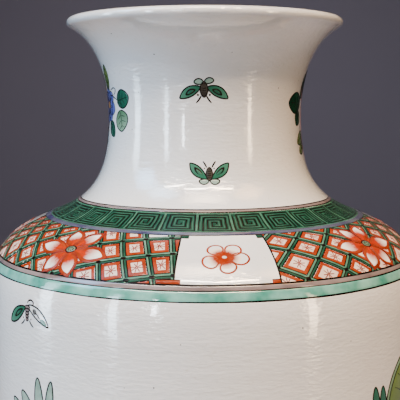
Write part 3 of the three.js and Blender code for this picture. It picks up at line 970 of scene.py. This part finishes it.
plants = Painting("body_plants")
plant(plants, -42.0, PETAL_RED, PETAL_YELLOW, 1.0)
plant(plants, 52.0, PETAL_AUBERGINE, PETAL_BLUE, -1.0)
plant(plants, 138.0, PETAL_RED, PETAL_BLUE, 1.0)
plant(plants, 228.0, PETAL_YELLOW, PETAL_AUBERGINE, -1.0)
for turn in (-40.2, 139.8):
    plants.move(turn, 279.0)
    for root, tip, width in (((-1.5, -20), (-3.0, 7.4), 5.6), ((1.5, -20), (5.4, 7.4), 4.8),
                             ((-3, -17), (-14.6, -0.6), 6.4), ((-5, -19), (-22, -5.4), 5.4),
                             ((4, -18), (15, -2.0), 6.0), ((5, -20), (23, -7), 5.4)):
        plants.leaf(PALE_GREEN, root, tip, width, blunt=0.52, widest=0.55, edge_width=0.75)
    blossom(plants, PETAL_BLUE, (0, -21), 11, 7, 8)
for turn in (54.1, 234.1):
    plants.move(turn, 280.6)
    plants.leaf(LEAF_PALE, (6, -27), (1.6, 10.8), 30, 1.0, 0.62, 0.48, edge_width=0.7)
    plants.lift = 0.06
    foliage(plants, LEAF_OLIVE, (6, -26), (2.6, 8.8), 26.5, 1.0, 4)
    plants.lift = 0.0
    for root, tip, width in (((-17.5, -22), (-20.9, 1.3), 5.4), ((-13, -22), (-15.4, 0.6), 5.0),
                             ((-22, -22), (-29, -5), 5.4)):
        plants.leaf(LEAF_GREEN, root, tip, width, blunt=0.52, widest=0.55, edge_width=0.75)
    blossom(plants, PETAL_AUBERGINE, (-17, -25), 11, 7, 8)
for turn, along, tilt in ((5, 226, -15), (8, 120, 20), (95, 250, 12), (96, 130, -18),
                          (185, 226, -15), (186, 120, 20), (275, 250, 12), (277, 130, -18)):
    plants.move(turn, along, 1.6, tilt)
    (bee if tilt > 0 else moth)(plants)
plants.finish()

# The specks and the foot lines
# Iron in the clay burns out as small brown specks in the glaze. Two brown lines close the painting
# above the foot.
specks = Painting("iron_specks")
SPECKS = ((-25.3, 449.4), (12.7, 450.1), (43.7, 434.4), (-45.4, 460.6), (-25.6, 302.4), (-19.7, 310.8),
          (-5.3, 308.1), (21.2, 312.9), (34.0, 304.7), (-11.1, 290.5), (-17.7, 289.5))
speck_hand = np.random.default_rng(47)
scattered = np.stack([speck_hand.uniform(60, 330, 60), speck_hand.uniform(20, 455, 60)], -1)
for turn, along in np.vstack([SPECKS, scattered]):
    specks.move(turn, along)
    size = speck_hand.uniform(0.16, 0.32)
    specks.disc(BODY_BROWN, (0, 0), size * 2, size * 2, thick=0.02)
specks.finish()
painted("foot_lines", [ring_line(24.0, 0.7, 71), ring_line(27.5, 0.5, 73)], OUTLINE)

# The stage, lights and camera
# A plain pale sweep of paper, and the camera where the photograph was taken from. Soft lights hang in
# front and overhead, and the glaze mirrors four upright strips of light at the sides. The last two
# lights are for the paper.
SWEEP_BACK, SWEEP_RADIUS = 2.2, 0.9
sweep_line = np.vstack([[[-3.0, 0.0]], arc((SWEEP_BACK, SWEEP_RADIUS), SWEEP_RADIUS, -90, 0, 24),
                        [[SWEEP_BACK + SWEEP_RADIUS, 4.0]]])
sweep_across = np.array([4.0, -4.0])[None, :]
sweep_points, sweep_quads = cells([np.stack(np.broadcast_arrays(
    sweep_across, sweep_line[:, :1], sweep_line[:, 1:]), -1)])
sweep_mesh = bpy.data.meshes.new("floor")
sweep_mesh.from_pydata(sweep_points, [], sweep_quads)
sweep_mesh.shade_smooth()
paper = Finish("pale_paper", Roughness=0.8)
paper.set(Base_Color=paper.blend(paper.noise(3.0), (0.35, 0.335, 0.375, 1), (0.33, 0.315, 0.355, 1)))
sweep_mesh.materials.append(paper.material)
sweep = placed("floor", sweep_mesh)


def soft_light(name, place, size, power, colour, spread, aim=(0, 0, 0.34)):
    """A rectangular light that shines within a spread in degrees, and faces the vase's middle where no
    other point is given."""
    lamp = bpy.data.lights.new(name, "AREA")
    lamp.shape = "RECTANGLE"
    lamp.size, lamp.size_y = size
    lamp.energy, lamp.color, lamp.spread = power, colour, np.radians(spread)
    light = placed(name, lamp)
    light.location = place
    way = np.array(aim) - np.array(place)
    light.rotation_euler = (np.arccos(-way[2] / np.linalg.norm(way)), 0, np.arctan2(-way[0], way[1]))


soft_light("top_left", (-1.46, -1.72, 3.08), (1.14, 0.13), 3.0, (1.0, 0.88, 0.76), 40)
soft_light("top_middle", (-0.37, -1.72, 3.08), (1.14, 0.13), 3.4, (1.0, 0.86, 0.72), 40)
soft_light("top_right", (0.72, -1.72, 3.08), (1.14, 0.13), 5.6, (1.0, 0.72, 0.46), 40)
soft_light("overhead", (0.0, -0.45, 2.30), (1.1, 0.9), 2.9, (1.0, 0.76, 0.52), 36)
soft_light("over_left", (-1.0, -0.45, 2.00), (0.8, 0.8), 1.15, (0.34, 0.66, 1.0), 36)
soft_light("over_right", (1.0, -0.45, 2.00), (0.8, 0.8), 0.95, (1.0, 0.54, 0.20), 36)
soft_light("sky_left", (-1.15, -0.35, 1.20), (0.6, 0.6), 1.0, (0.26, 0.58, 1.0), 40)
soft_light("front_left", (-0.70, -1.00, 1.30), (0.7, 0.5), 0.15, (0.70, 0.86, 1.0), 40)
soft_light("window_left", (-1.18, -0.14, 0.46), (0.17, 0.86), 0.88, (0.66, 0.84, 1.0), 60, (0, 0, 0.40))
soft_light("strip_left", (-0.83, -0.86, 0.44), (0.09, 0.80), 0.66, (0.72, 0.87, 1.0), 60, (0, 0, 0.38))
soft_light("strip_near", (-0.49, -1.10, 0.50), (0.05, 0.26), 0.22, (0.86, 0.93, 1.0), 60)
soft_light("strip_right", (0.95, -0.74, 0.44), (0.09, 0.80), 0.62, (1.0, 0.74, 0.48), 60, (0, 0, 0.38))
soft_light("floor_wash", (0.0, -2.7, 3.4), (3.0, 1.0), 12.0, (1.0, 0.94, 0.90), 60, (0.0, -2.71, 0.0))
soft_light("backdrop", (0.0, 1.4, 2.6), (1.5, 0.5), 7.6, (0.93, 0.86, 1.0), 120, (0.0, 3.1, 0.5))
world = bpy.data.worlds.new("studio")
world.use_nodes = True
world.node_tree.nodes["Background"].inputs["Color"].default_value = (0.80, 0.82, 0.88, 1)
world.node_tree.nodes["Background"].inputs["Strength"].default_value = 0.035
bpy.context.scene.world = world

CAMERA_PLACE = (-0.00227, -0.4277, 0.409)
CAMERA_PITCH = 6.4525  # degrees below level
CAMERA_LENS = 77.76  # on a 36 mm sensor
eye = bpy.data.cameras.new("camera")
eye.lens, eye.sensor_width, eye.clip_start = CAMERA_LENS, 36.0, 0.01
camera = placed("camera", eye)
camera.location = CAMERA_PLACE
camera.rotation_euler = (np.radians(90 - CAMERA_PITCH), 0, 0)
bpy.context.scene.camera = camera
